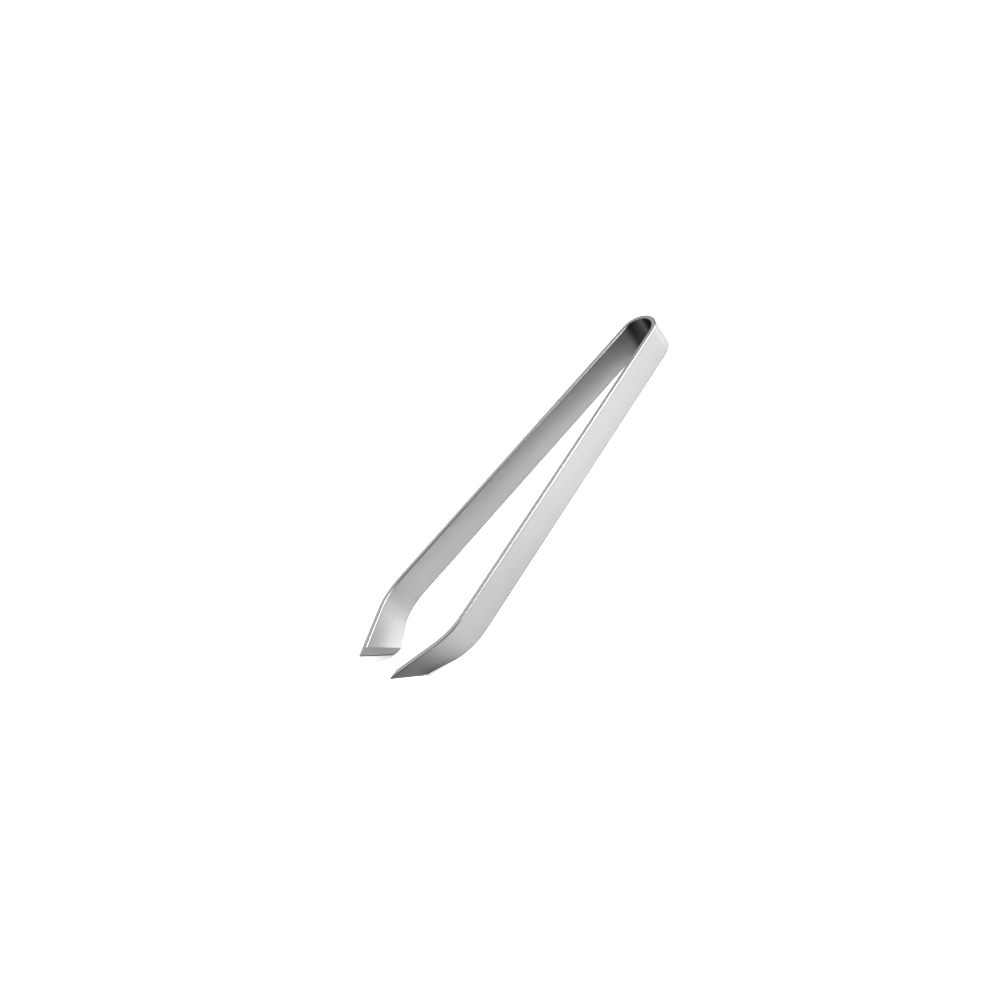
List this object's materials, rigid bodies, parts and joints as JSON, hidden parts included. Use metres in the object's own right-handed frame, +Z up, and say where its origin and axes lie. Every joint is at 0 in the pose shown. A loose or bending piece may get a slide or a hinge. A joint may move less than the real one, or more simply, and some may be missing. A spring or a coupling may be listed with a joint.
{
  "type": "stamp tongs",
  "caption": "Slant-tipped tongs folded from one strip of spring steel: a U-shaped bow, two long flat arms and two inward-bent jaws with ground gripping facets.",
  "frame": {"origin": "bottom centre of the tongs, lying on the long narrow edges of the strip", "axes": "+X across the opening towards the right arm, +Y along the tongs towards the bow, +Z up across the width of the strip"},
  "size_m": [0.0296, 0.1197, 0.009],
  "materials": {
    "satin_steel": "satin stainless steel, faintly grained along the strip, with polished eased edges"
  },
  "bodies": {
    "bow": {"spring_bow": "satin_steel"},
    "left_arm": {"left_arm": "satin_steel", "left_jaw": "satin_steel"},
    "right_arm": {"right_arm": "satin_steel", "right_jaw": "satin_steel"}
  },
  "joints": [
    {"name": "left_arm_flex", "type": "hinge", "parent": "bow", "child": "left_arm", "pos_m": [-0.0065, 0.03846, 0.0045], "axis": [0, 0, 1], "range_deg": [0, 4.2], "stiffness_Nm_per_rad": 7.9},
    {"name": "right_arm_flex", "type": "hinge", "parent": "bow", "child": "right_arm", "pos_m": [0.0065, 0.03846, 0.0045], "axis": [0, 0, -1], "range_deg": [0, 4.2], "stiffness_Nm_per_rad": 7.9}
  ],
  "couplings": [
    {"joint": "right_arm_flex", "follows": "left_arm_flex", "ratio": 1}
  ]
}
